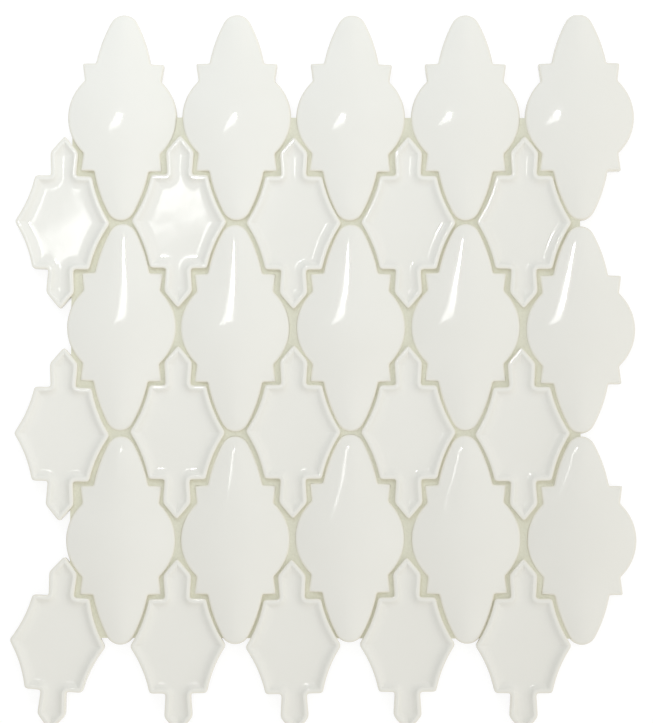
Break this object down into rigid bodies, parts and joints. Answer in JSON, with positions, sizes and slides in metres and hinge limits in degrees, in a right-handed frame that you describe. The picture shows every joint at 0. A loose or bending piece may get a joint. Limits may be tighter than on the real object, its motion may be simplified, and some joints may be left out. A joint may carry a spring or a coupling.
{
  "type": "moroccan arabesque tile",
  "caption": "Mesh-backed mosaic sheet of ivory glazed lantern tiles and rimmed star tiles, set in staggered rows with beige grout, for bonding to a wall or floor.",
  "frame": {"origin": "centre of the bounding box, on the underside of the mesh backing", "axes": "+Z out of the glazed face, +Y up the columns of tiles, +X along the rows"},
  "size_m": [0.2716, 0.313, 0.0096],
  "materials": {
    "ivory_glaze": "gloss glaze",
    "grout": "matt, slightly sandy",
    "glass_fibre_mesh": "open glass-fibre net"
  },
  "bodies": {
    "root": {"crowned_tile_r1_c1": "ivory_glaze", "crowned_tile_r1_c2": "ivory_glaze", "crowned_tile_r1_c3": "ivory_glaze", "crowned_tile_r1_c4": "ivory_glaze", "crowned_tile_r1_c5": "ivory_glaze", "crowned_tile_r2_c1": "ivory_glaze", "crowned_tile_r2_c2": "ivory_glaze", "crowned_tile_r2_c3": "ivory_glaze", "crowned_tile_r2_c4": "ivory_glaze", "crowned_tile_r2_c5": "ivory_glaze", "crowned_tile_r3_c1": "ivory_glaze", "crowned_tile_r3_c2": "ivory_glaze", "crowned_tile_r3_c3": "ivory_glaze", "crowned_tile_r3_c4": "ivory_glaze", "crowned_tile_r3_c5": "ivory_glaze", "framed_tile_r1_c1": "ivory_glaze", "framed_tile_r1_c2": "ivory_glaze", "framed_tile_r1_c3": "ivory_glaze", "framed_tile_r1_c4": "ivory_glaze", "framed_tile_r1_c5": "ivory_glaze", "framed_tile_r2_c1": "ivory_glaze", "framed_tile_r2_c2": "ivory_glaze", "framed_tile_r2_c3": "ivory_glaze", "framed_tile_r2_c4": "ivory_glaze", "framed_tile_r2_c5": "ivory_glaze", "framed_tile_r3_c1": "ivory_glaze", "framed_tile_r3_c2": "ivory_glaze", "framed_tile_r3_c3": "ivory_glaze", "framed_tile_r3_c4": "ivory_glaze", "framed_tile_r3_c5": "ivory_glaze", "grout_joints": "grout", "mesh_backing": "glass_fibre_mesh"}
  },
  "joints": []
}
